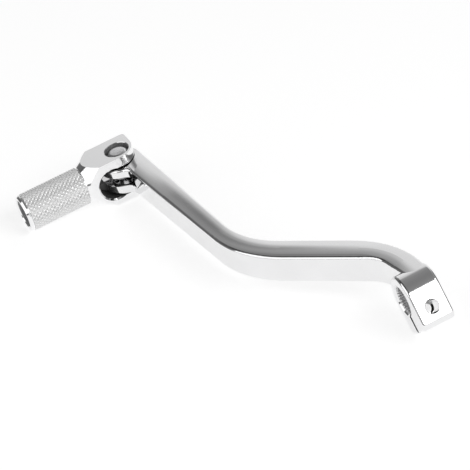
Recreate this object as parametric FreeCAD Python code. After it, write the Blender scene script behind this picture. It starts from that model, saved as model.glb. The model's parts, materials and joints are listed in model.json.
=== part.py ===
import FreeCAD, Part
import math
import os
from FreeCAD import Rotation, Vector

# Foot gear lever with a folding toe peg. Millimetres.
# The origin is the centre of the splined bore. Y is the bore axis and points outboard,
# X runs forwards along the lever and Z is up.

# Shaft clamp
spline_tip_d = 10.5
spline_depth = 0.45
spline_teeth = 28
spline_land = 0.42
spline_floor = 0.2
boss_r = 9.5
boss_width = 13.4
jaw_reach = 13.4
jaw_corner_r = 3.0
clamp_tilt = 55.0
slit_width = 1.8
seat_drop = 0.06
pinch_hole_d = 5.3
pinch_thread_d = 4.3
pinch_offset = 6.2
pinch_chamfer = 0.25
boss_edge_r = 1.3
bore_chamfer = 0.6

# Forged arm, crowned above and below; seen from above its sides are straight runs joined by bends
arm_height = 12.3
arm_edge_r = 1.2
crown_r = 30.5
crown_tilt = 6.5
crown_foot = 5.4
crown_foot_r = 20.0
mid_run_angle = 45.0
inner_root_y = -6.0
inner_root_x = 22.8
inner_root_bend_r = 46.0
inner_tip_x = 67.7
inner_tip_bend_r = 40.0
outer_root_y = 2.55
outer_root_slope = 0.16
outer_root_x = 18.4
outer_root_bend_r = 16.0
outer_tip_x = 58.7
outer_tip_bend_r = 50.0
outer_tip_slope = 0.0915

# Eye at the end of the arm
pivot_x = 157.3
pivot_y = 53.5
eye_r = 8.6
neck_fillet_r = 4.5
stop_start = 1.0
stop_inset = 0.2
stop_gap = 0.35
upper_lug = 3.9
lower_lug = 4.4
spring_slot_depth = 13.0
spring_slot_wall = 2.1

# Folding peg: a fork on the eye and a hollow grip
ear_gap = 0.35
upper_ear = 3.95
lower_ear = 2.9
fork_inset = 0.8
fork_shift = 1.2
fork_end = 6.7
fork_end_arc_x = 0.5
fork_end_arc_room = 0.7
fork_corner_r = 1.5
slot_back = 2.2
slot_rim = 0.6
grip_rise = 8.9
grip_d = 15.4
grip_length = 44.0
grip_bore_d = 11.4
grip_bore_depth = 21.0
grip_drill_angle = 118.0
grip_mouth_chamfer = 0.4
grip_end_chamfer = 0.8
grip_end_drop = 0.5
grip_band = 1.4
knurl_start = 17.5
knurl_depth = 0.25
shoulder_end_y = 17.2
shoulder_start_y = 10.5

# Pivot pin
pin_d = 6.0
pin_turn_gap = 0.05
pin_seat_gap = 0.01
pin_head_d = 8.8
pin_head_h = 2.4
pin_dome = 1.1
pin_head_room = 0.6
counterbore_depth = 2.6
counterbore_rim = 0.2
peen_d = 7.6
peen_depth = 0.9

# Return spring
wire_d = 1.5
coil_gap = 0.35
coil_pitch = 1.75
coil_turns = 1.25
leg_back = 11.9
leg_out = 14.9
leg_hole_gap = 0.35

# Length of a cutter that has to pass right through
clear = 80.0

X_AXIS = Vector(1, 0, 0)
Y_AXIS = Vector(0, 1, 0)
Z_AXIS = Vector(0, 0, 1)
half_boss = boss_width / 2
arm_top = boss_r
arm_bottom = arm_top - arm_height
spring_top = arm_top - upper_lug
spring_bottom = arm_bottom + lower_lug
slot_top = arm_top + ear_gap
slot_bottom = arm_bottom - ear_gap
slot_r = (slot_top - slot_bottom) / 2
slot_mid = (slot_top + slot_bottom) / 2
slot_centre_y = eye_r - slot_back
fork_width = 2 * (eye_r - fork_inset)
fork_top = slot_top + upper_ear
fork_bottom = slot_bottom - lower_ear
grip_z = fork_top - grip_rise
grip_r = grip_d / 2
pin_r = pin_d / 2
wire_r = wire_d / 2
coil_r = eye_r - spring_slot_wall - coil_gap - wire_r
leg_hole_r = wire_r + leg_hole_gap
coil_bottom = (spring_top + spring_bottom - coil_pitch * coil_turns) / 2
coil_top = coil_bottom + coil_pitch * coil_turns


def polar(radius, degrees):
    a = math.radians(degrees)
    return radius * math.cos(a), radius * math.sin(a)


def rounded_wire(corners, closed=True):
    """Wire through corners (x, y, radius) in the XY plane; radius 0 keeps the corner sharp."""
    marks = []
    count = len(corners)
    for i, (x, y, r) in enumerate(corners):
        here = Vector(x, y, 0)
        if r == 0:
            marks.append((here, here, here))
            continue
        back = Vector(*corners[i - 1][:2], 0) - here
        ahead = Vector(*corners[(i + 1) % count][:2], 0) - here
        back.normalize()
        ahead.normalize()
        half = back.getAngle(ahead) / 2
        reach = r / math.tan(half)
        bisector = back + ahead
        bisector.normalize()
        middle = here + bisector * (r / math.sin(half) - r)
        marks.append((here + back * reach, middle, here + ahead * reach))
    edges = []
    for i, (start, middle, end) in enumerate(marks):
        if start.distanceToPoint(end) > 1e-9:
            edges.append(Part.Arc(start, middle, end).toShape())
        following = marks[(i + 1) % count][0]
        if closed or i + 1 < count:
            edges.append(Part.makeLine(end, following))
    return Part.Wire(edges)


def prism(corners, z0, z1):
    face = Part.Face(rounded_wire(corners))
    face.translate(Vector(0, 0, z0))
    return face.extrude(Vector(0, 0, z1 - z0))


def side_prism(corners, y0, y1):
    """Outline given as (x, z, radius), extruded along Y."""
    solid = prism([(x, z, r) for x, z, r in corners], -y1, -y0)
    solid.rotate(Vector(0, 0, 0), X_AXIS, 90)
    return solid


def clamp_frame(solid):
    """Turns a clamp feature, drawn with its jaws along +X and its bolt seat facing -Z, to its tilt."""
    solid.rotate(Vector(0, 0, 0), Y_AXIS, 180 - clamp_tilt)
    return solid


def turned(points, base, axis):
    """Solid of revolution from (radius, height) points."""
    wire = Part.makePolygon([Vector(r, 0, h) for r, h in points + points[:1]])
    solid = Part.Face(wire).revolve(Vector(0, 0, 0), Z_AXIS, 360)
    solid.Placement = FreeCAD.Placement(base, Rotation(Z_AXIS, axis))
    return solid


def edges_where(shape, test):
    return [e for e in shape.Edges if test(e)]


def arm_outline():
    """Plan of the arm from the boss to the middle of the eye."""
    slope = math.tan(math.radians(mid_run_angle))
    inner_tip_y = inner_root_y + slope * (inner_tip_x - inner_root_x)
    away = Vector(pivot_x - inner_tip_x, pivot_y - inner_tip_y, 0)
    heading = math.atan2(away.y, away.x) - math.asin(eye_r / away.Length)
    touch_x = pivot_x + eye_r * math.sin(heading)
    touch_y = pivot_y - eye_r * math.cos(heading)
    outer_corner_y = outer_root_y + outer_root_slope * outer_root_x
    outer_tip_y = outer_corner_y + slope * (outer_tip_x - outer_root_x)
    meet_x = pivot_x - eye_r / 2
    meet_y = outer_tip_y + outer_tip_slope * (meet_x - outer_tip_x)
    return [
        (0, inner_root_y, 0),
        (inner_root_x, inner_root_y, inner_root_bend_r),
        (inner_tip_x, inner_tip_y, inner_tip_bend_r),
        (touch_x, touch_y, 0),
        (pivot_x, pivot_y, 0),
        (meet_x, meet_y, 0),
        (outer_tip_x, outer_tip_y, outer_tip_bend_r),
        (outer_root_x, outer_corner_y, outer_root_bend_r),
        (0, outer_root_y, 0),
    ]


def middle_line():
    """Corners of the line midway between the arm's two sides, run on past both ends."""
    plan = [Vector(x, y, 0) for x, y, r in arm_outline()]
    pairs = ((0, 8), (1, 7), (2, 6), (3, 5))
    start, root, tip, end = [(plan[a] + plan[b]) * 0.5 for a, b in pairs]
    root_r = (inner_root_bend_r + outer_root_bend_r) / 2
    tip_r = (inner_tip_bend_r + outer_tip_bend_r) / 2
    before = start * 2 - root
    beyond = end + (end - tip) * 0.5
    ends = [(p.x, p.y, 0) for p in (before, beyond)]
    return [ends[0], (root.x, root.y, root_r), (tip.x, tip.y, tip_r), ends[1]]


def make_crowned_slab():
    """Wide slab along the arm's middle line with a crown above and below."""
    slope = math.radians(crown_tilt)
    ridge = crown_foot * math.tan(slope)
    crest = ridge - crown_r * (1 / math.cos(slope) - 1)
    foot_z = arm_height / 2 - crest
    half = 2 * eye_r
    upper = [
        (half, foot_z, 0),
        (crown_foot, foot_z, crown_foot_r),
        (0, foot_z + ridge, crown_r),
        (-crown_foot, foot_z, crown_foot_r),
        (-half, foot_z, 0),
    ]
    section = rounded_wire(upper + [(-x, -z, r) for x, z, r in upper])
    corners = middle_line()
    ahead = Vector(corners[1][0] - corners[0][0], corners[1][1] - corners[0][1], 0)
    heading = math.degrees(math.atan2(ahead.y, ahead.x))
    section.rotate(Vector(0, 0, 0), X_AXIS, 90)
    section.rotate(Vector(0, 0, 0), Z_AXIS, heading + 90)
    section.translate(Vector(corners[0][0], corners[0][1], 0))
    slab = rounded_wire(corners, closed=False).makePipeShell([section], True, False)
    slab.translate(Vector(0, 0, (arm_top + arm_bottom) / 2))
    return slab


def make_arm():
    """Forged arm and eye: crowned, with rounded edges."""
    plate = prism(arm_outline(), arm_bottom, arm_top)
    eye = Part.makeCylinder(eye_r, arm_height, Vector(pivot_x, pivot_y, arm_bottom))
    arm = plate.fuse(eye).removeSplitter()
    neck = edges_where(arm, is_neck)
    arm = arm.makeFillet(neck_fillet_r, neck).common(make_crowned_slab())
    rim = [e for e in arm.Edges if is_rim(arm, e)]
    arm = arm.makeFillet(arm_edge_r, rim)
    return arm.fuse(make_stop_nose()).removeSplitter()


def make_stop_nose():
    """Round-ended nose on the front half of the eye; the end of the fork's slot bears on it at rest."""
    length = fork_shift + fork_width / 2 - stop_inset - stop_start
    radius = slot_r - stop_gap
    start = Vector(pivot_x + stop_start, pivot_y, slot_mid)
    block = Part.makeBox(length, slot_centre_y, 2 * radius, start - Vector(0, 0, radius))
    end = Part.makeCylinder(radius, length, start + Vector(0, slot_centre_y, 0), X_AXIS)
    return block.fuse(end)


def is_neck(edge):
    """The upright inside corner between the arm's outer side and the eye."""
    c = edge.CenterOfMass
    upright = abs(edge.BoundBox.ZLength - arm_height) < 1e-6
    on_eye = abs(math.hypot(c.x - pivot_x, c.y - pivot_y) - eye_r) < 1e-6
    return upright and on_eye and c.x < pivot_x - eye_r / 2


def is_upright(face):
    u0, u1, v0, v1 = face.ParameterRange
    return abs(face.normalAt((u0 + u1) / 2, (v0 + v1) / 2).z) < 1e-6


def is_rim(shape, edge):
    """An edge between a side and the crowned top or bottom, but not at the end inside the boss."""
    faces = shape.ancestorsOfType(edge, Part.Face)
    uprights = [f for f in faces if is_upright(f)]
    return len(faces) == 2 and len(uprights) == 1 and edge.CenterOfMass.x > 1e-3


def make_boss():
    barrel = Part.makeCylinder(boss_r, boss_width, Vector(0, -half_boss, 0), Y_AXIS)
    jaw_corners = [
        (0, -boss_r, 0),
        (jaw_reach, -boss_r, jaw_corner_r),
        (jaw_reach, boss_r, jaw_corner_r),
        (0, boss_r, 0),
    ]
    jaws = side_prism(jaw_corners, -half_boss, half_boss)
    boss = barrel.fuse(jaws).removeSplitter()
    rim = edges_where(boss, lambda e: e.BoundBox.YLength < 1e-6)
    return clamp_frame(boss.makeFillet(boss_edge_r, rim))


def spline_cutter():
    """Bore with straight-sided grooves; the lands between them lie on the tip circle."""
    pitch = 360.0 / spline_teeth
    tip_r = spline_tip_d / 2
    root_r = tip_r + spline_depth
    half_mouth = (1 - spline_land) * pitch / 2
    half_floor = spline_floor * pitch / 2
    corners = [(tip_r / 2, 0, 0)]
    flanks = [(tip_r, half_mouth), (root_r, half_floor), (root_r, -half_floor), (tip_r, -half_mouth)]
    for radius, side in flanks:
        x, z = polar(radius, side)
        corners.append((x, z, 0))
    shapes = []
    for tooth in range(spline_teeth):
        groove = side_prism(corners, -half_boss, half_boss)
        groove.rotate(Vector(0, 0, 0), Y_AXIS, tooth * pitch)
        shapes.append(groove)
    mouth_r = root_r + bore_chamfer
    mouth_y = half_boss - (mouth_r - tip_r)
    mouth = [(0, mouth_y), (tip_r, mouth_y), (mouth_r, half_boss), (mouth_r, clear), (0, clear)]
    shapes += [turned(mouth, Vector(0, 0, 0), Y_AXIS), turned(mouth, Vector(0, 0, 0), -Y_AXIS)]
    bore = Part.makeCylinder(tip_r, boss_width, Vector(0, -half_boss, 0), Y_AXIS)
    return bore.fuse(shapes)


def clamp_cutters():
    seat = boss_r - seat_drop
    seat_block = Part.makeBox(2 * clear, 2 * clear, clear, Vector(-clear, -clear, -seat - clear))
    slit = Part.makeBox(clear, 2 * clear, slit_width, Vector(0, -clear, -slit_width / 2))
    hole = Part.makeCylinder(pinch_hole_d / 2, clear, Vector(pinch_offset, 0, -clear))
    thread = Part.makeCylinder(pinch_thread_d / 2, clear, Vector(pinch_offset, 0, 0))
    sink_r = pinch_hole_d / 2
    sink = Part.makeCone(sink_r + pinch_chamfer, sink_r, pinch_chamfer, Vector(pinch_offset, 0, -seat))
    return [clamp_frame(c) for c in (seat_block, slit, hole, thread, sink)]


def spring_slot_cutter():
    height = spring_top - spring_bottom
    back = Part.makeBox(
        spring_slot_depth + clear, eye_r - spring_slot_wall + clear, height,
        Vector(pivot_x - spring_slot_depth, pivot_y - eye_r + spring_slot_wall, spring_bottom))
    front = Part.makeBox(clear, 2 * clear, height, Vector(pivot_x, pivot_y - clear, spring_bottom))
    return back.fuse(front)


def make_lever_arm():
    arm = make_arm().fuse(make_boss()).removeSplitter()
    pivot_hole = Part.makeCylinder(pin_r + pin_turn_gap, 2 * clear, Vector(pivot_x, pivot_y, -clear))
    cutters = [spline_cutter(), spring_slot_cutter(), pivot_hole] + clamp_cutters()
    for cutter in cutters:
        arm = arm.cut(cutter)
    return arm.removeSplitter()


def fork_plan():
    """Fork seen from above, about its middle: a square front corner, then an arc back to clear the arm."""
    half = fork_width / 2
    arc_r = half + fork_end_arc_x + fork_end_arc_room
    arc_y = arc_r - fork_end
    reach = math.degrees(math.acos((fork_end_arc_x + half) / arc_r))
    arc = []
    for degrees in (180 + reach, 225 + reach / 2, 270):
        x, y = polar(arc_r, degrees)
        arc.append(Vector(fork_end_arc_x + x, arc_y + y, 0))
    r = fork_corner_r
    corner = Vector(half - r, r - fork_end, 0)
    x, y = polar(r, -45)
    edges = [
        Part.Arc(*arc).toShape(),
        Part.makeLine(arc[2], corner - Vector(0, r, 0)),
        Part.Arc(corner - Vector(0, r, 0), corner + Vector(x, y, 0), corner + Vector(r, 0, 0)).toShape(),
        Part.makeLine(corner + Vector(r, 0, 0), Vector(half, clear, 0)),
        Part.makeLine(Vector(half, clear, 0), Vector(-half, clear, 0)),
        Part.makeLine(Vector(-half, clear, 0), arc[0]),
    ]
    return Part.Face(Part.Wire(edges))


def make_grip_blank():
    """Turned blank about the grip axis: a wide collar for the fork, a tapered shoulder and the grip."""
    collar_r = math.hypot(fork_width / 2, max(fork_top - grip_z, grip_z - fork_bottom)) + fork_corner_r
    taper = (math.hypot(fork_width / 2, grip_rise) - grip_r) / (shoulder_end_y - shoulder_start_y)
    collar_y = shoulder_end_y - (collar_r - grip_r) / taper
    knurl_stop = grip_length - grip_band
    floor_r = grip_r - knurl_depth
    points = [
        (0, -clear),
        (collar_r, -clear),
        (collar_r, collar_y),
        (grip_r, shoulder_end_y),
        (grip_r, knurl_start),
        (floor_r, knurl_start + knurl_depth),
        (floor_r, knurl_stop - knurl_depth),
        (grip_r, knurl_stop),
        (grip_r, grip_length - grip_end_chamfer),
        (grip_r - grip_end_drop, grip_length),
        (0, grip_length),
    ]
    return turned(points, Vector(0, 0, grip_z), Y_AXIS)


def grip_bore_cutter():
    """Drilled hole in the end of the grip, with the drill's cone at its bottom and a chamfered mouth."""
    drill_r = grip_bore_d / 2
    bore_end = grip_length - grip_bore_depth
    cone = drill_r / math.tan(math.radians(grip_drill_angle / 2))
    mouth_r = drill_r + grip_mouth_chamfer
    points = [
        (0, bore_end - cone),
        (drill_r, bore_end),
        (drill_r, grip_length - grip_mouth_chamfer),
        (mouth_r, grip_length),
        (mouth_r, grip_length + clear),
        (0, grip_length + clear),
    ]
    return turned(points, Vector(0, 0, grip_z), Y_AXIS)


def slot_cutter():
    """Round-ended slot through the fork, with a bevelled rim on both side faces."""
    block = Part.makeBox(2 * clear, clear, 2 * slot_r, Vector(-clear, slot_centre_y - clear, slot_bottom))
    ends = [Part.makeCylinder(slot_r, 2 * clear, Vector(-clear, slot_centre_y, slot_mid), X_AXIS)]
    for side in (-1, 1):
        face = Vector(side * fork_width / 2, slot_centre_y, slot_mid)
        ends.append(Part.makeCone(slot_r + slot_rim, slot_r, slot_rim, face, X_AXIS * -side))
    return block.fuse(ends)


def make_folding_peg():
    plan = fork_plan()
    plan.translate(Vector(0, 0, fork_bottom))
    block = plan.extrude(Vector(0, 0, fork_top - fork_bottom))
    peg = make_grip_blank().common(block)
    for cutter in (slot_cutter(), grip_bore_cutter()):
        peg = peg.cut(cutter)
    peg.translate(Vector(fork_shift, 0, 0))
    hole = Part.makeCylinder(pin_r + pin_seat_gap, 2 * clear, Vector(0, 0, -clear))
    seat = Vector(0, 0, fork_top - counterbore_depth)
    sink_r = pin_head_d / 2 + pin_head_room
    counterbore = Part.makeCylinder(sink_r, clear, seat)
    rim_foot = Vector(0, 0, fork_top - counterbore_rim)
    rim = Part.makeCone(sink_r, sink_r + counterbore_rim, counterbore_rim, rim_foot)
    peen = Part.makeCone(
        peen_d / 2 + pin_seat_gap, pin_r + pin_seat_gap, peen_depth, Vector(0, 0, fork_bottom))
    leg_hole = Part.makeCylinder(
        leg_hole_r, leg_out + wire_d - slot_centre_y, Vector(coil_r, slot_centre_y, coil_top), Y_AXIS)
    for cutter in (hole, counterbore, rim, peen, leg_hole):
        peg = peg.cut(cutter)
    return place_at_pivot(peg.removeSplitter())


def place_at_pivot(solid):
    solid.translate(Vector(pivot_x, pivot_y, 0))
    return solid


def make_pivot_pin():
    """Pin with a domed head in the counterbore and its lower end peened into the lower ear."""
    seat = fork_top - counterbore_depth
    head_r = pin_head_d / 2
    shoulder = seat + pin_head_h - pin_dome
    dome_r = (head_r ** 2 + pin_dome ** 2) / (2 * pin_dome)
    lower = fork_bottom
    points = [
        Vector(0, 0, lower), Vector(peen_d / 2, 0, lower), Vector(pin_r, 0, lower + peen_depth),
        Vector(pin_r, 0, seat), Vector(head_r, 0, seat), Vector(head_r, 0, shoulder),
    ]
    top = Vector(0, 0, seat + pin_head_h)
    half_way = math.asin(head_r / dome_r) / 2
    centre_z = top.z - dome_r
    middle = Vector(dome_r * math.sin(half_way), 0, centre_z + dome_r * math.cos(half_way))
    edges = [Part.makeLine(a, b) for a, b in zip(points, points[1:])]
    edges += [Part.Arc(points[-1], middle, top).toShape(), Part.makeLine(top, points[0])]
    pin = Part.Face(Part.Wire(edges)).revolve(Vector(0, 0, 0), Z_AXIS, 360)
    return place_at_pivot(pin)


def make_return_spring():
    """One and a quarter turns; one leg lies in the arm's slot and the other reaches into the fork."""
    helix = Part.makeHelix(coil_pitch, coil_pitch * coil_turns, coil_r)
    helix.rotate(Vector(0, 0, 0), Z_AXIS, -90)
    helix.translate(Vector(0, 0, coil_bottom))
    start = Vector(0, -coil_r, coil_bottom)
    end = Vector(coil_r, 0, coil_top)
    section = Part.Wire(Part.makeCircle(wire_r, start, X_AXIS))
    coil = Part.Wire(helix.Edges).makePipeShell([section], True, True)
    back_leg = Part.makeCylinder(wire_r, leg_back, start, -X_AXIS)
    out_leg = Part.makeCylinder(wire_r, leg_out, end, Y_AXIS)
    return place_at_pivot(coil.fuse([back_leg, out_leg]).removeSplitter())


os.makedirs("parts", exist_ok=True)
nodes = {
    "lever_arm": make_lever_arm(),
    "folding_peg": make_folding_peg(),
    "pivot_pin": make_pivot_pin(),
    "return_spring": make_return_spring(),
}
for name, solid in nodes.items():
    print(name, solid.isValid(), len(solid.Solids), len(solid.Faces), round(solid.Volume, 1))
    solid.exportStep("parts/" + name + ".step")
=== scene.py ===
# %% [markdown]
# # A polished motorcycle gear shift lever
# The lever is a forged aluminium arm with a splined clamp at one end and a folding toe peg at the
# other. Its solids come from the imported model, which is a fixed frame: nothing in it is moved or
# reshaped here. This lesson gives each piece its finish, cuts the knurl on the grip, turns the
# pin, winds the spring, and sets up a white photographer's table.

# %% Load the frame
import json
import math

import bmesh
import bpy
from mathutils import Euler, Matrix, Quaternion, Vector


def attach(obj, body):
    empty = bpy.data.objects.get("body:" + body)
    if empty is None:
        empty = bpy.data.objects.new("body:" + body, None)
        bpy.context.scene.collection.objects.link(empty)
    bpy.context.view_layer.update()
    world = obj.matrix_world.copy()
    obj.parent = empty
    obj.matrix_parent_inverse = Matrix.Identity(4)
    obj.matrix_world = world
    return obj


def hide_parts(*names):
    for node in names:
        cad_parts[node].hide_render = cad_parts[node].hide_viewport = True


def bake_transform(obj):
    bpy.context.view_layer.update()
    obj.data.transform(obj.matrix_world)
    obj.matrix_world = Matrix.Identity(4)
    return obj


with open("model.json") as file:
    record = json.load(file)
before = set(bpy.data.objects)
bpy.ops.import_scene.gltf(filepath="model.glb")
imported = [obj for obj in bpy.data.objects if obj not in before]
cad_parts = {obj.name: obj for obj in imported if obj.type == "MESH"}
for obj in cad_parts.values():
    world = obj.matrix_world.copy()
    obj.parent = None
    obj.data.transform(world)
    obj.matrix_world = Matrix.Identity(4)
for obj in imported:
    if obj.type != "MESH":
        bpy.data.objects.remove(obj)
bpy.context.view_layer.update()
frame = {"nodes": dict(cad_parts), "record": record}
MM = 0.001

# %% [markdown]
# ## The camera
# The picture was taken with a long lens from behind and above the lever, so parallel edges stay
# nearly parallel. A long focal length far away gives that. The camera is rolled a little, as it
# was in the photograph.

# %% Place the camera
PHOTO_SIDE_PX = 470
PHOTO_FOCAL_PX = 3188
SENSOR_MM = 36
CAMERA_PLACE = (-0.900391, 0.284865, 0.671)
CAMERA_TURN_DEG = (55.1743, 15.4078, -114.6032)


def add_object(name, data):
    made = bpy.data.objects.new(name, data)
    bpy.context.collection.objects.link(made)
    return made


camera_data = bpy.data.cameras.new("photo_camera")
camera_data.sensor_width = SENSOR_MM
camera_data.lens = SENSOR_MM * PHOTO_FOCAL_PX / PHOTO_SIDE_PX
camera = add_object("photo_camera", camera_data)
camera.location = CAMERA_PLACE
camera.rotation_euler = Euler([math.radians(turn) for turn in CAMERA_TURN_DEG])
bpy.context.scene.camera = camera
print("Lens in mm:", round(camera_data.lens, 1))

# %% [markdown]
# ## Small helpers for node materials
# A material is a graph of nodes. Building it in code takes two moves again and again: add a node
# with some settings, and join two sockets. Short helpers for them keep the recipes below readable.
# Every texture reads the piece's own coordinates in metres, so that a pattern has its real size
# and stays on the metal when the piece moves.

# %% Nodes and sums
def add_node(tree, kind, **settings):
    node = tree.nodes.new(kind)
    for name, value in settings.items():
        setattr(node, name, value)
    return node


def math_node(tree, operation, a, b=0):
    """One sum in the graph; a and b are numbers or sockets."""
    node = add_node(tree, "ShaderNodeMath", operation=operation)
    for socket, value in zip(node.inputs, (a, b)):
        if isinstance(value, (int, float)):
            socket.default_value = value
        else:
            tree.links.new(value, socket)
    return node.outputs[0]


def new_finish(name):
    """A node material with its Principled shader, and the piece's own coordinates in metres."""
    material = bpy.data.materials.new(name)
    material.use_nodes = True
    tree = material.node_tree
    place = add_node(tree, "ShaderNodeTexCoord").outputs["Object"]
    return material, tree, tree.nodes["Principled BSDF"], place


def dress(data, finish):
    data.materials.clear()
    data.materials.append(finish)
    print(data.name, "wears", finish.name)


print("Node helpers ready")

# %% [markdown]
# ### Textures
# Worn and worked metal is never even, and noise is the plainest way to say so. One noise can drive
# a colour, a roughness and a bump, and then they change together, as they do on a real surface.

# %% Noise, colours and bumps
def noise(tree, place, per_metre, detail=4.0, stretch=(1, 1, 1)):
    """Noise from 0 to 1 with about per_metre blobs, drawn out along the axes of small stretch."""
    mapping = add_node(tree, "ShaderNodeMapping")
    mapping.inputs["Scale"].default_value = stretch
    texture = add_node(tree, "ShaderNodeTexNoise")
    texture.inputs["Scale"].default_value = per_metre
    texture.inputs["Detail"].default_value = detail
    tree.links.new(place, mapping.inputs["Vector"])
    tree.links.new(mapping.outputs["Vector"], texture.inputs["Vector"])
    return texture.outputs["Fac"]


def spread(tree, value, low, high, start=0.0, end=1.0):
    """Maps value from start..end to low..high."""
    node = add_node(tree, "ShaderNodeMapRange")
    limits = {"From Min": start, "From Max": end, "To Min": low, "To Max": high}
    for name, number in limits.items():
        node.inputs[name].default_value = number
    tree.links.new(value, node.inputs["Value"])
    return node.outputs["Result"]


def tint(tree, value, dark, light):
    """A colour between dark and light as value goes from 0 to 1."""
    ramp = add_node(tree, "ShaderNodeValToRGB")
    ramp.color_ramp.elements[0].color = (*dark, 1)
    ramp.color_ramp.elements[1].color = (*light, 1)
    tree.links.new(value, ramp.inputs["Fac"])
    return ramp.outputs["Color"]


def bump(tree, shader, height, depth):
    node = add_node(tree, "ShaderNodeBump")
    node.inputs["Strength"].default_value = 1.0
    node.inputs["Distance"].default_value = depth
    tree.links.new(height, node.inputs["Height"])
    tree.links.new(node.outputs["Normal"], shader.inputs["Normal"])


print("Texture helpers ready")

# %% [markdown]
# ## Polished aluminium
# Buffed aluminium is nearly a mirror, but not a perfect one: the wheel leaves hairline scratches
# along the arm and a haze that comes and goes. A metallic Principled shader gives the mirror, and
# two layers of noise give the hand work. The wheel never reaches into the bore or to the stop nose
# inside the fork, so there the metal is as the cutter left it, grey and dull. The nose's grey is
# also painted far darker than cut metal, as painted shade for its place inside the fork. A second
# material would need faces of its own for that. Here the shader itself measures how far a point
# lies from the bore's axis or past the pivot, and so the solid stays as it is.

# %% Measure in the shader
def split(tree, vector):
    """The X, Y and Z of a vector."""
    axes = add_node(tree, "ShaderNodeSeparateXYZ")
    tree.links.new(vector, axes.inputs[0])
    return axes.outputs


def seen_from(tree, place, centre):
    """The same place, measured from centre."""
    shift = add_node(tree, "ShaderNodeVectorMath", operation="SUBTRACT")
    shift.inputs[1].default_value = centre
    tree.links.new(place, shift.inputs[0])
    return shift.outputs[0]


def hypotenuse(tree, a, b):
    squares = [math_node(tree, "MULTIPLY", side, side) for side in (a, b)]
    return math_node(tree, "SQRT", math_node(tree, "ADD", *squares))


def from_axis(tree, place, centre, plane):
    """How far a place lies from the axis through centre that stands square to the plane."""
    axes = split(tree, seen_from(tree, place, centre))
    return hypotenuse(tree, *[axes[name] for name in plane])


def apart(tree, value, middle):
    return math_node(tree, "ABSOLUTE", math_node(tree, "SUBTRACT", value, middle))


peg_fold = frame["record"]["behaviour"]["joints"][0]
PIVOT = Vector((*peg_fold["pos_m"][:2], 0))
print("Pivot in mm:", [round(c / MM, 2) for c in PIVOT])

# %% Mix the metal
HAZE_LEAVES = 0.9
COOL_BLUE = 1.005
MILLED_ROUGHNESS = 0.5


def metal(tree, shader, haze, bright, polish, dull_and_shaded_places):
    """Mirror metal dimmed by haze; each (mask, light) makes a place dull, and a low light paints
    shade.
    """
    def hazy(light):
        ends = [(level, level, level * COOL_BLUE) for level in (HAZE_LEAVES * light, light)]
        return tint(tree, haze, *ends)

    colour = hazy(bright)
    for mask, light in dull_and_shaded_places:
        mix = add_node(tree, "ShaderNodeMix", data_type="RGBA")
        tree.links.new(mask, mix.inputs["Factor"])
        tree.links.new(colour, mix.inputs["A"])
        tree.links.new(hazy(light), mix.inputs["B"])
        colour = mix.outputs["Result"]
        rougher = math_node(tree, "MULTIPLY", mask, MILLED_ROUGHNESS)
        polish = math_node(tree, "ADD", polish, rougher)
    tree.links.new(colour, shader.inputs["Base Color"])
    tree.links.new(polish, shader.inputs["Roughness"])
    shader.inputs["Metallic"].default_value = 1.0


print("Haze takes", round(100 * (1 - HAZE_LEAVES)), "% off the metal's light")

# %% Finish of the arm
BORE_EDGE = 5.75 * MM
EYE_EDGE = 8.7 * MM
NOSE_FACE = 1.0 * MM
FACE_SLACK = 0.03 * MM
ARM_BRIGHT = 0.87
BORE_BRIGHT = 0.8
# The nose's grey is painted shade: far darker than cut metal, for its place inside the fork.
NOSE_MILLED_GREY_AND_SHADE = 0.2
ARM_POLISH = (0.05, 0.13)
HAIRLINE_DEPTH = 0.002 * MM

arm_finish, tree, shader, place = new_finish("polished_forged_aluminium")
axes = split(tree, place)
from_bore = from_axis(tree, place, (0, 0, 0), ("X", "Z"))
in_bore = math_node(tree, "LESS_THAN", from_bore, BORE_EDGE)
past_eye = math_node(tree, "GREATER_THAN", axes["Y"], PIVOT.y + EYE_EDGE)
from_face = apart(tree, axes["X"], PIVOT.x + NOSE_FACE)
on_face = math_node(tree, "LESS_THAN", from_face, FACE_SLACK)
on_nose = math_node(tree, "MAXIMUM", past_eye, on_face)
haze = noise(tree, place, per_metre=60, detail=6)
buffing = noise(tree, place, per_metre=900, detail=3, stretch=(0.06, 0.5, 1.0))
cut_and_shaded = [(in_bore, BORE_BRIGHT), (on_nose, NOSE_MILLED_GREY_AND_SHADE)]
metal(tree, shader, haze, ARM_BRIGHT, spread(tree, haze, *ARM_POLISH), cut_and_shaded)
bump(tree, shader, buffing, HAIRLINE_DEPTH)
dress(frame["nodes"]["lever_arm"].data, arm_finish)

# %% [markdown]
# ## The peg
# The peg was turned from bar, milled into a fork and buffed. It takes the same mirror as the arm,
# with its hairlines running round the grip's axis. The round-ended slot between the ears, the
# grip's hole and the pin's counterbore stay as milled. The slot and the counterbore are also
# painted darker than the hole's grey, as painted shade in these recesses. Each of them is a part
# of a cylinder, so the distance from its axis and a limit along it are enough for the shader to
# find it.

# %% Where the peg stays as milled
FORK_MIDDLE_X = PIVOT.x + 1.2 * MM
FORK_INNER_HALF = 7.15 * MM
SLOT_AXIS_Y = PIVOT.y + 6.4 * MM
SLOT_AXIS_Z = 3.35 * MM
SLOT_R = 6.53 * MM
GRIP_AXIS = (FORK_MIDDLE_X, 0, 4.9 * MM)
GRIP_HOLE_FROM = PIVOT.y + 19.0 * MM
GRIP_HOLE_R = 5.75 * MM
PIN_SINK_FROM = 11.1 * MM
PIN_SINK_R = 5.05 * MM


def in_round(tree, place, centre, plane, radius, along, start):
    """1 inside a round hole, from start on in the direction along."""
    beside = math_node(tree, "LESS_THAN", from_axis(tree, place, centre, plane), radius)
    return math_node(tree, "MULTIPLY", beside, math_node(tree, "GREATER_THAN", along, start))


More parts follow.
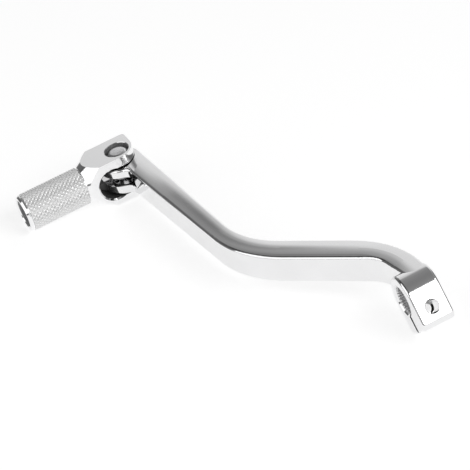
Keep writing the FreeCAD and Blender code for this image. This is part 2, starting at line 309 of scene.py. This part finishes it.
def in_fork_slot(tree, axes):
    """1 in the slot between the ears, whose far end is round."""
    past_axis = math_node(tree, "MAXIMUM", math_node(tree, "SUBTRACT", axes["Y"], SLOT_AXIS_Y))
    above_axis = math_node(tree, "SUBTRACT", axes["Z"], SLOT_AXIS_Z)
    inside = math_node(tree, "LESS_THAN", hypotenuse(tree, past_axis, above_axis), SLOT_R)
    from_middle = apart(tree, axes["X"], FORK_MIDDLE_X)
    between_faces = math_node(tree, "LESS_THAN", from_middle, FORK_INNER_HALF)
    return math_node(tree, "MULTIPLY", inside, between_faces)


print("Grip's axis in mm:", [round(c / MM, 2) for c in GRIP_AXIS])

# %% Finish of the peg
PEG_BRIGHT = 0.95
# The slot's and the counterbore's greys are milled grey darkened by painted shade.
SLOT_MILLED_GREY_AND_SHADE = 0.22
HOLE_BRIGHT = 0.6
SINK_MILLED_GREY_AND_SHADE = 0.4
PEG_POLISH = (0.06, 0.16)

peg_finish, tree, shader, place = new_finish("polished_turned_aluminium")
axes = split(tree, place)
in_slot = in_fork_slot(tree, axes)
in_hole = in_round(tree, place, GRIP_AXIS, ("X", "Z"), GRIP_HOLE_R, axes["Y"], GRIP_HOLE_FROM)
in_sink = in_round(tree, place, PIVOT, ("X", "Y"), PIN_SINK_R, axes["Z"], PIN_SINK_FROM)
haze = noise(tree, place, per_metre=80, detail=6)
turning = noise(tree, place, per_metre=1200, detail=3, stretch=(0.1, 1.0, 0.1))
milled_and_shaded = [(in_slot, SLOT_MILLED_GREY_AND_SHADE), (in_hole, HOLE_BRIGHT), (in_sink, SINK_MILLED_GREY_AND_SHADE)]
metal(tree, shader, haze, PEG_BRIGHT, spread(tree, haze, *PEG_POLISH), milled_and_shaded)
bump(tree, shader, turning, HAIRLINE_DEPTH)
dress(frame["nodes"]["folding_peg"].data, peg_finish)

# %% [markdown]
# ## The knurl
# A knurling tool rolls two sets of crossing grooves into the grip and leaves rows of small
# flat-topped diamonds. A bump map would look flat at the outline, so the diamonds are real faces:
# a lattice of points wrapped round the grip's axis, where every second point is the middle of a
# diamond and its neighbours are the crossings of the grooves.

# %% Plan the knurl
KNURL_FROM = 17.8 * MM
KNURL_TO = 42.3 * MM
KNURL_FLOOR_R = 7.47 * MM
KNURL_CREST_R = 7.75 * MM
KNURL_INNER_R = 6.9 * MM
KNURL_STARTS = 28
FLAT_TOP = 0.24
DIAMOND_WIDTH_TO_LENGTH = 0.82

diamond_width = 2 * math.pi * KNURL_FLOOR_R / KNURL_STARTS
knurl_length = KNURL_TO - KNURL_FROM
columns = 2 * KNURL_STARTS
rows = 2 * round(knurl_length / diamond_width * DIAMOND_WIDTH_TO_LENGTH)
row_length = knurl_length / rows
middles = [(c, r) for r in range(rows + 1) for c in range(columns) if (r + c) % 2]
print("Knurl:", KNURL_STARTS, "starts,", rows, "rows,", len(middles), "diamonds")

# %% [markdown]
# ### Faces of the knurl
# A corner is written as column, row and radius, and only turned into a point in space at the end.
# Each diamond has a flat top and four flanks, and at either end of the grip it is cut in half. End
# faces and an inner wall close the ring, so that it is a solid sleeve and not a loose skin.

# %% List the faces
def diamond_faces(column, row):
    """A diamond's flat top and its flanks."""
    steps = [s for s in ((1, 0), (0, 1), (-1, 0), (0, -1)) if 0 <= row + s[1] <= rows]
    top = [(column + FLAT_TOP * dx, row + FLAT_TOP * dy, KNURL_CREST_R) for dx, dy in steps]
    foot = [(column + dx, row + dy, KNURL_FLOOR_R) for dx, dy in steps]
    faces = [top]
    for k in range(len(steps)):
        after = (k + 1) % len(steps)
        spans_end = len(steps) == 3 and steps[k][1] == 0 and steps[after][1] == 0
        if not spans_end:
            faces.append((foot[k], foot[after], top[after], top[k]))
    return faces


def end_face(column, row):
    """The sleeve's end under half a diamond."""
    outline = [(-1, KNURL_FLOOR_R), (-FLAT_TOP, KNURL_CREST_R), (FLAT_TOP, KNURL_CREST_R),
               (1, KNURL_FLOOR_R), (1, KNURL_INNER_R), (-1, KNURL_INNER_R)]
    return [(column + aside, row, radius) for aside, radius in outline]


def wall_face(column):
    """A strip of the sleeve's inner wall, from end to end."""
    return [(c, r, KNURL_INNER_R) for c, r in (
        (column, 0), (column + 2, 0), (column + 2, rows), (column, rows))]


knurl_faces = [face for middle in middles for face in diamond_faces(*middle)]
knurl_faces += [end_face(c, r) for end in (0, rows) for c, r in middles if r == end]
knurl_faces += [wall_face(c) for c in range(0, columns, 2)]
print("Knurl:", len(knurl_faces), "faces listed")

# %% Cut the knurl
SAME_CORNER_DIGITS = 4


def knurl_point(column, row, radius):
    angle = math.pi * column / KNURL_STARTS
    return (
        GRIP_AXIS[0] + radius * math.cos(angle),
        PIVOT.y + KNURL_FROM + row * row_length,
        GRIP_AXIS[2] + radius * math.sin(angle),
    )


def closed_mesh(mesh, name):
    """Turns a bmesh's faces outwards and makes a mesh of it."""
    bmesh.ops.recalc_face_normals(mesh, faces=mesh.faces)
    data = bpy.data.meshes.new(name)
    mesh.to_mesh(data)
    mesh.free()
    return data


def make_knurl(faces):
    mesh = bmesh.new()
    known = {}

    def vertex(column, row, radius):
        turned_back = round(column % columns, SAME_CORNER_DIGITS)
        key = (turned_back, round(row, SAME_CORNER_DIGITS), radius)
        if key not in known:
            known[key] = mesh.verts.new(knurl_point(turned_back, row, radius))
        return known[key]

    for corners in faces:
        mesh.faces.new(list(dict.fromkeys(vertex(*corner) for corner in corners)))
    return closed_mesh(mesh, "grip_knurl")


knurl = add_object("grip_knurl", make_knurl(knurl_faces))
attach(knurl, "peg")
print("Knurl:", len(knurl.data.vertices), "points,", len(knurl.data.polygons), "faces")

# %% [markdown]
# ### Finish of the knurl
# The crests are rubbed bright, and the grooves keep a trace of grey polish and are painted darker
# as painted shade in the valleys. The two could be painted face by face, but the distance from the
# grip's axis tells them apart with a soft change between.

# %% Finish the knurl
# The grooves' grey is a trace of polish with painted shade in the valleys.
GROOVE_GRIME_AND_SHADE = (0.84, 0.84, 0.84)
CREST_WHITE = (0.99, 0.99, 0.99)
GRIME_PATCHES = (0.75, 1.2)


def shade(tree, shader, value, colours, roughness, metallic=1.0):
    """Goes from the first to the second of colours, and of roughness, as value goes up."""
    shader.inputs["Metallic"].default_value = metallic
    tree.links.new(tint(tree, value, *colours), shader.inputs["Base Color"])
    tree.links.new(spread(tree, value, *roughness), shader.inputs["Roughness"])


knurl_finish, tree, shader, place = new_finish("knurled_aluminium")
radius = from_axis(tree, place, GRIP_AXIS, ("X", "Z"))
height = spread(tree, radius, 0.0, 1.0, KNURL_FLOOR_R, KNURL_CREST_R)
patches = spread(tree, noise(tree, place, per_metre=300), *GRIME_PATCHES)
wear_and_shade = math_node(tree, "MULTIPLY", height, patches)
shade(tree, shader, wear_and_shade, (GROOVE_GRIME_AND_SHADE, CREST_WHITE), (0.45, 0.26), metallic=0.5)
dress(knurl.data, knurl_finish)

# %% [markdown]
# ## The pivot pin
# A plain steel pin, turned on a lathe. Its head sits in the ear's counterbore, with a flat bright
# end face and a rounded rim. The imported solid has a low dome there, so the pin is turned again
# here: a profile of radius and height, written in millimetres as on a drawing, goes round the
# pivot's axis, as the lathe does it.

# %% Draw the pin's profile
PIN_R = 3.0
PIN_FOOT = -6.05
PEENED_R = 3.8
PEENED_TO = -5.15
HEAD_R = 4.4
HEAD_SEAT = 11.2
HEAD_TOP = 12.95
RIM_R = 1.7
RIM_STEPS = 10

shank = [(0, PIN_FOOT), (PEENED_R, PIN_FOOT), (PIN_R, PEENED_TO), (PIN_R, HEAD_SEAT)]
rim = []
for step in range(RIM_STEPS + 1):
    angle = math.pi / 2 * step / RIM_STEPS
    rim.append((HEAD_R - RIM_R * (1 - math.cos(angle)), HEAD_TOP - RIM_R * (1 - math.sin(angle))))
pin_profile_mm = shank + [(HEAD_R, HEAD_SEAT)] + rim + [(0, HEAD_TOP)]
print("Pin's profile:", len(pin_profile_mm), "points")

# %% Turn the pin
LATHE_STEPS = 96
PIN_SMOOTH_TO = math.radians(30)


def lathe_ring(mesh, radius, height):
    """One ring of points round the pivot, or a single point on its axis."""
    angles = [2 * math.pi * k / LATHE_STEPS for k in range(LATHE_STEPS if radius else 1)]
    around = [Vector((radius * math.cos(a), radius * math.sin(a), height)) for a in angles]
    return [mesh.verts.new(PIVOT + point * MM) for point in around]


def turned(name, profile_mm):
    mesh = bmesh.new()
    rings = [lathe_ring(mesh, *point) for point in profile_mm]
    for lower, upper in zip(rings, rings[1:]):
        for k in range(LATHE_STEPS):
            corners = ((lower, k), (lower, k + 1), (upper, k + 1), (upper, k))
            around = [ring[step % len(ring)] for ring, step in corners]
            mesh.faces.new(list(dict.fromkeys(around)))
    data = closed_mesh(mesh, name)
    data.shade_smooth()
    data.set_sharp_from_angle(angle=PIN_SMOOTH_TO)
    return data


pin = add_object("turned_pin", turned("turned_pin", pin_profile_mm))
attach(pin, "peg")
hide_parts("pivot_pin")
print("Pin:", len(pin.data.polygons), "faces")

# %% [markdown]
# ### Finish of the pin
# The lathe's tool leaves fine rings round the axis. They are far too fine to model, so a wave
# texture that runs in rings round the pivot makes them as a bump, and a haze lies over them.

# %% Finish the pin
PIN_GREYS = ((0.74, 0.74, 0.75), (0.86, 0.86, 0.87))
TOOL_MARK_DEPTH = 0.004 * MM

pin_finish, tree, shader, place = new_finish("turned_steel")
tool_marks = add_node(tree, "ShaderNodeTexWave", wave_type="RINGS", rings_direction="Z")
tool_marks.inputs["Scale"].default_value = 900
tool_marks.inputs["Distortion"].default_value = 1.5
tree.links.new(seen_from(tree, place, PIVOT), tool_marks.inputs["Vector"])
shade(tree, shader, noise(tree, place, per_metre=250), PIN_GREYS, (0.14, 0.3))
bump(tree, shader, tool_marks.outputs["Fac"], TOOL_MARK_DEPTH)
dress(pin.data, pin_finish)

# %% [markdown]
# ## The return spring
# The spring's lower leg stays in the arm and its upper leg goes round with the fork, so the real
# spring winds up as the peg folds. A rigid solid can't do that. Here the wire is drawn again on
# the same line, as a bevelled curve turned into a mesh.

# %% Lay the spring's line
COIL_R = 5.4 * MM
COIL_BOTTOM = 2.50625 * MM
COIL_PITCH = 1.75 * MM
COIL_TURNS = 1.25
LEG_BACK = 11.9 * MM
LEG_OUT = 14.9 * MM
LEG_OUT_PARTS = (0.3, 0.6, 1.0)
STEPS_PER_TURN = 48


def coil_point(turn):
    angle = 2 * math.pi * turn - math.pi / 2
    height = COIL_BOTTOM + COIL_PITCH * turn
    return Vector((COIL_R * math.cos(angle), COIL_R * math.sin(angle), height))


def spring_line():
    """Points from the end of the arm's leg, round the coil, to the end of the fork's leg."""
    arm_leg = [Vector((-back, -COIL_R, COIL_BOTTOM)) for back in (LEG_BACK, LEG_BACK / 2)]
    steps = round(STEPS_PER_TURN * COIL_TURNS)
    coil = [coil_point(COIL_TURNS * step / steps) for step in range(steps + 1)]
    fork_leg = [coil[-1] + Vector((0, LEG_OUT * part, 0)) for part in LEG_OUT_PARTS]
    return [PIVOT + point for point in arm_leg + coil + fork_leg]


line = spring_line()
print("Spring:", len(line), "points on its line")

# %% Wind the spring
WIRE_R = 0.75 * MM
WIRE_ROUNDING = 5

wire = bpy.data.curves.new("spring_wire", "CURVE")
wire.dimensions = "3D"
wire.bevel_depth = WIRE_R
wire.bevel_resolution = WIRE_ROUNDING
wire.use_fill_caps = True
spline = wire.splines.new("POLY")
spline.points.add(len(line) - 1)
for point, place_on_line in zip(spline.points, line):
    point.co = (*place_on_line, 1)
wire_object = bpy.data.objects.new("spring_wire", wire)
spring_mesh = bpy.data.meshes.new_from_object(wire_object)
bpy.data.objects.remove(wire_object)
for polygon in spring_mesh.polygons:
    polygon.use_smooth = True
spring = add_object("wound_spring", spring_mesh)
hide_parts("return_spring")
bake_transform(spring)
print("Spring:", len(spring_mesh.polygons), "faces")

# %% [markdown]
# ### Finish of the spring
# Spring wire is drawn, hardened and oiled, which leaves it darker than the pin and unevenly smooth.

# %% Finish the spring
WIRE_GREYS = ((0.2, 0.2, 0.205), (0.42, 0.42, 0.43))

spring_finish, tree, shader, place = new_finish("oiled_spring_wire")
shade(tree, shader, noise(tree, place, per_metre=700), WIRE_GREYS, (0.2, 0.38))
dress(spring_mesh, spring_finish)

# %% [markdown]
# ## The table
# Laid on a table, the lever rests on its clamp, its fork and the end of its grip, so the table
# leans a little in the lever's own frame. Its height could be written as a number, but it is safer
# to ask the solids for their lowest point along the table's own upward direction.

# %% Lay the table
TABLE_UP = Vector((-0.018, -0.104, 0.994)).normalized()
TABLE_SIDE = 6.0


def square(name, side):
    half = side / 2
    corners = [(-half, -half, 0), (half, -half, 0), (half, half, 0), (-half, half, 0)]
    data = bpy.data.meshes.new(name)
    data.from_pydata(corners, [], [(0, 1, 2, 3)])
    plate = add_object(name, data)
    plate.rotation_mode = "QUATERNION"
    return plate


lowest = min(
    TABLE_UP.dot(node.matrix_world @ v.co)
    for node in frame["nodes"].values() if node.type == "MESH"
    for v in node.data.vertices)
table = square("table", TABLE_SIDE)
table.rotation_quaternion = Vector((0, 0, 1)).rotation_difference(TABLE_UP)
table.location = TABLE_UP * lowest
print("Table lies", round(lowest / MM, 2), "mm along its upward direction")

# %% [markdown]
# ### Paint of the table
# The table's white comes from its colour and from a soft glow that only the camera and mirror-like
# rays see. More light would whiten it too, but it would also wash out the metal. The rest of the
# paint takes the light, and with it the lever's faint shadow.

# %% Paint the table
TABLE_PAINT = 0.5
TABLE_GLOW = 0.7


def bare_paint(name):
    """A material with no shader yet, and the socket that one goes into."""
    paint = bpy.data.materials.new(name)
    paint.use_nodes = True
    tree = paint.node_tree
    tree.nodes.remove(tree.nodes["Principled BSDF"])
    return paint, tree, tree.nodes["Material Output"].inputs["Surface"]


table_paint, tree, surface = bare_paint("white_table")
white = add_node(tree, "ShaderNodeBsdfDiffuse")
white.inputs["Color"].default_value = (TABLE_PAINT, TABLE_PAINT, TABLE_PAINT, 1)
glow = add_node(tree, "ShaderNodeEmission")
ray = add_node(tree, "ShaderNodeLightPath").outputs
seen = math_node(tree, "MAXIMUM", ray["Is Camera Ray"], ray["Is Glossy Ray"])
seen = math_node(tree, "MAXIMUM", seen, ray["Is Transmission Ray"])
tree.links.new(math_node(tree, "MULTIPLY", seen, TABLE_GLOW), glow.inputs["Strength"])
both = add_node(tree, "ShaderNodeAddShader")
tree.links.new(white.outputs[0], both.inputs[0])
tree.links.new(glow.outputs[0], both.inputs[1])
tree.links.new(both.outputs[0], surface)
dress(table.data, table_paint)

# %% [markdown]
# ## The room
# Polished metal shows the room more than itself. The photograph's room is white beyond the table
# and grows dim overhead, and it is dark at both sides. That is why the lever's top goes from light
# to grey across its crown, and why dark lines run along its near edge and the clamp's far one. A
# ramp over the height of a ray's direction draws such a room, and a second one, over the
# direction's sideways part, dims both sides. The camera itself sees plain white.

# %% Ramps of light
UP_AND_OVER = [
    (0.0, 1.0), (0.27, 0.87), (0.45, 0.84), (0.55, 0.79), (0.75, 0.30), (0.9, 0.25), (1.0, 0.22)]
SIDE_TO_SIDE = [
    (-1.0, 0.15), (-0.87, 0.2), (-0.7, 1.0), (-0.22, 1.0), (-0.02, 0.32), (0.35, 0.16), (1.0, 0.16)]


def light_ramp(tree, value, steps):
    """A smooth ramp of grey through (place, light) steps."""
    ramp = add_node(tree, "ShaderNodeValToRGB")
    ramp.color_ramp.interpolation = "EASE"
    while len(ramp.color_ramp.elements) < len(steps):
        ramp.color_ramp.elements.new(position=0.5)
    for element, (where, light) in zip(ramp.color_ramp.elements, steps):
        element.position = where
        element.color = (light, light, light, 1)
    tree.links.new(value, ramp.inputs["Fac"])
    return ramp.outputs["Color"]


print("Ramps with", len(UP_AND_OVER), "and", len(SIDE_TO_SIDE), "steps of light")

# %% Draw the room
world = bpy.data.worlds.new("studio_room")
bpy.context.scene.world = world
world.use_nodes = True
tree = world.node_tree
direction = split(tree, add_node(tree, "ShaderNodeTexCoord").outputs["Generated"])
upward = light_ramp(tree, direction["Z"], UP_AND_OVER)
across = spread(tree, direction["Y"], 0.0, 1.0, -1.0, 1.0)
sideways = light_ramp(tree, across, [((y + 1) / 2, light) for y, light in SIDE_TO_SIDE])
dimmed = add_node(tree, "ShaderNodeVectorMath", operation="MULTIPLY")
tree.links.new(upward, dimmed.inputs[0])
tree.links.new(sideways, dimmed.inputs[1])
seen_white = add_node(tree, "ShaderNodeMix", data_type="RGBA")
ray = add_node(tree, "ShaderNodeLightPath").outputs
tree.links.new(ray["Is Camera Ray"], seen_white.inputs["Factor"])
tree.links.new(dimmed.outputs["Vector"], seen_white.inputs["A"])
seen_white.inputs["B"].default_value = (1, 1, 1, 1)
tree.links.new(seen_white.outputs["Result"], tree.nodes["Background"].inputs["Color"])
print("Room drawn as", world.name)

# %% [markdown]
# ## The lamps
# One large softbox stands beside the camera: it whitens the clamp's flat bolt seat and throws the
# faint shadow to the other side. Another on the peg's side draws the bright line along the arm's
# near edge and whitens the peg's tapered shoulder. Point lamps would show in the metal as hard
# spots, so both are area lamps.

# %% Hang the lamps
ARM_MIDDLE = Vector((0.08, 0.03, 0.0))


def softbox(name, where, width, depth, power):
    data = bpy.data.lights.new(name, "AREA")
    data.shape = "RECTANGLE"
    data.size = width
    data.size_y = depth
    data.energy = power
    lamp = add_object(name, data)
    lamp.location = where
    lamp.rotation_euler = (ARM_MIDDLE - Vector(where)).to_track_quat("-Z", "Y").to_euler()
    print(name, "hangs", round((ARM_MIDDLE - Vector(where)).length, 2), "m from the arm")


softbox("camera_softbox", where=(-0.75, -0.42, 0.72), width=0.75, depth=0.6, power=5.2)
softbox("peg_side_softbox", where=(0.0, 0.97, 0.74), width=1.35, depth=1.1, power=5.6)

# %% [markdown]
# ## A dark card
# Photographers hang a dark card where a polished face would look blank. This one darkens the
# middle of the arm's top, so that the metal shades from light at the ends to grey between. It
# stands where the camera's view, mirrored in the arm, meets it. Only mirror-like rays do, so it
# throws no shadow.

# %% Hang the dark card
CARD_SIDE = 0.5
CARD_AWAY = 0.6
CARD_ROLL = math.radians(-116.6)
DARKEST = Vector((0.1, 0.0465, 0.0095))
MIRRORED_VIEW = Vector((0.81, -0.2, 0.55))

card = square("dark_card", CARD_SIDE)
card.location = DARKEST + MIRRORED_VIEW * CARD_AWAY
facing = MIRRORED_VIEW.to_track_quat("-Z", "Y")
card.rotation_quaternion = facing @ Quaternion((0, 0, 1), CARD_ROLL)
card.visible_camera = False
card.visible_diffuse = False
card.visible_shadow = False
print("Card hung at", [round(c, 3) for c in card.location])

# %% [markdown]
# ### Its fading paint
# A card with hard edges would show in the metal as a patch. This one is clear at its rim and
# darkest in its middle. It fades fast towards the peg and slowly towards the clamp, because that
# is how the arm shades.

# %% How far from the card's middle
FADE_TO_PEG = (0.02, 0.042)
FADE_TO_CLAMP = (0.0, -0.18)
FADE_TO_FAR_EDGE = (0.0, 0.1)
FADE_TO_NEAR_EDGE = (0.0, -0.12)


def fading(tree, value, *ways):
    """Goes from 0 to 1 along each of the ways, which lead to either side."""
    return math_node(tree, "ADD", *[spread(tree, value, 0.0, 1.0, *way) for way in ways])


card_paint, tree, surface = bare_paint("fading_black")
axes = split(tree, add_node(tree, "ShaderNodeTexCoord").outputs["Object"])
along = fading(tree, axes["X"], FADE_TO_PEG, FADE_TO_CLAMP)
aside = fading(tree, axes["Y"], FADE_TO_FAR_EDGE, FADE_TO_NEAR_EDGE)
outward = hypotenuse(tree, along, aside)
print("Card fades over", FADE_TO_PEG[1], "m to the peg and", -FADE_TO_CLAMP[1], "m to the clamp")

# %% Paint the card
CARD_SHADE = 0.73

fade = add_node(tree, "ShaderNodeMapRange", interpolation_type="SMOOTHSTEP")
fade.inputs["To Min"].default_value = CARD_SHADE
fade.inputs["To Max"].default_value = 0.0
tree.links.new(outward, fade.inputs["Value"])
clear = add_node(tree, "ShaderNodeBsdfTransparent")
black = add_node(tree, "ShaderNodeEmission")
black.inputs["Strength"].default_value = 0.0
both = add_node(tree, "ShaderNodeMixShader")
tree.links.new(fade.outputs["Result"], both.inputs["Fac"])
tree.links.new(clear.outputs[0], both.inputs[1])
tree.links.new(black.outputs[0], both.inputs[2])
tree.links.new(both.outputs[0], surface)
dress(card.data, card_paint)

# %% [markdown]
# ## Colours as they are
# Blender's usual view softens bright tones. White on white needs them as they are, so the plain
# view is chosen, and the lamps keep the tones in range.

# %% Choose the plain view
view = bpy.context.scene.view_settings
view.view_transform = "Standard"
print("Colours shown in the view", view.view_transform)
